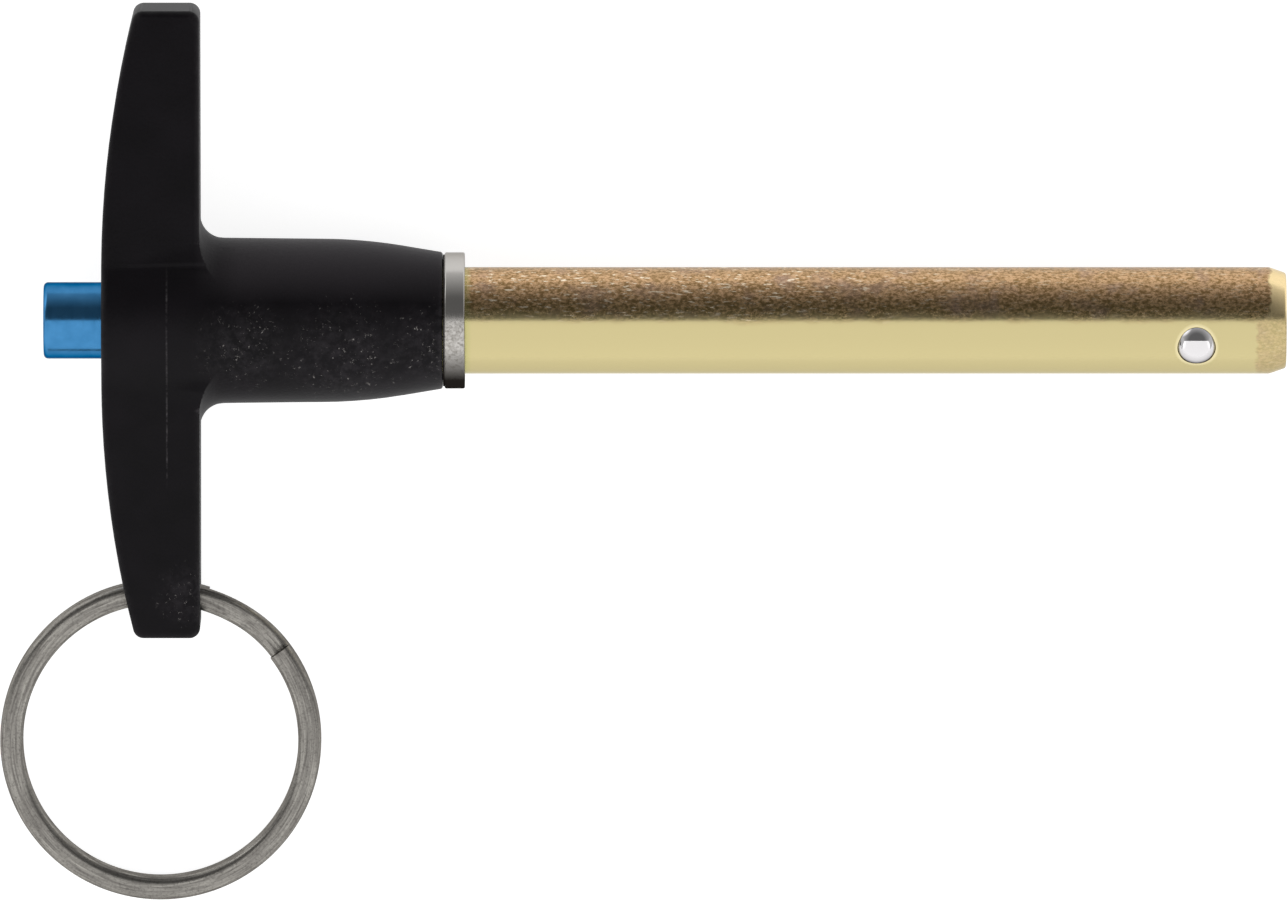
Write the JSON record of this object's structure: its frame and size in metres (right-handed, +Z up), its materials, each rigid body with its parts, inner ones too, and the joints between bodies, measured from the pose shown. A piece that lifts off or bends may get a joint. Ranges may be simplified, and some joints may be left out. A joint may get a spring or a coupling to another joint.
{
  "type": "ball lock pin",
  "caption": "Push-button ball lock pin with a T-handle, a shoulder collar, a hollow shank with sprung locking balls near its lead end, and a split key ring through one handle arm.",
  "frame": {"origin": "on the shank's axis at the collar's locating face", "axes": "+X along the shank towards its lead end, +Z up from the surface it lies on, +Y across it away from the key ring"},
  "size_m": [0.1142, 0.0797, 0.0148],
  "materials": {
    "handle_plastic": "moulded, dull, scuffed",
    "plated_steel": "yellow zinc plated, turned",
    "collar_steel": "plain turned steel, lightly tarnished",
    "spring_steel": "drawn wire",
    "spindle_steel": "ground",
    "button_anodised": "blue anodised, turned",
    "ball_steel": "polished bearing ball",
    "ring_steel": "tumbled, dull"
  },
  "bodies": {
    "pin": {"t_handle": "handle_plastic", "pin_body": "plated_steel", "shoulder_collar": "collar_steel", "return_spring": "spring_steel"},
    "plunger": {"push_button": "button_anodised", "spindle": "spindle_steel"},
    "front_ball": {"lock_ball_front": "ball_steel"},
    "rear_ball": {"lock_ball_rear": "ball_steel"},
    "ring": {"key_ring": "ring_steel"}
  },
  "joints": [
    {"name": "button_press", "type": "slide", "parent": "pin", "child": "plunger", "axis": [1, 0, 0], "range_m": [0, 0.0042], "stiffness_N_per_m": 800, "springref_m": -0.005, "deforming": ["return_spring"]},
    {"name": "front_ball_slide", "type": "slide", "parent": "pin", "child": "front_ball", "axis": [0, 0.515, -0.8572], "range_m": [0, 0.00086]},
    {"name": "rear_ball_slide", "type": "slide", "parent": "pin", "child": "rear_ball", "axis": [0, -0.515, 0.8572], "range_m": [0, 0.00086]},
    {"name": "ring_swing", "type": "hinge", "parent": "pin", "child": "ring", "pos_m": [-0.02786, -0.02452, -0.00272], "axis": [1, 0, 0], "range_deg": [-155, 154]}
  ],
  "couplings": [
    {"joint": "front_ball_slide", "follows": "button_press", "ratio": 0.20476},
    {"joint": "rear_ball_slide", "follows": "button_press", "ratio": 0.20476}
  ]
}
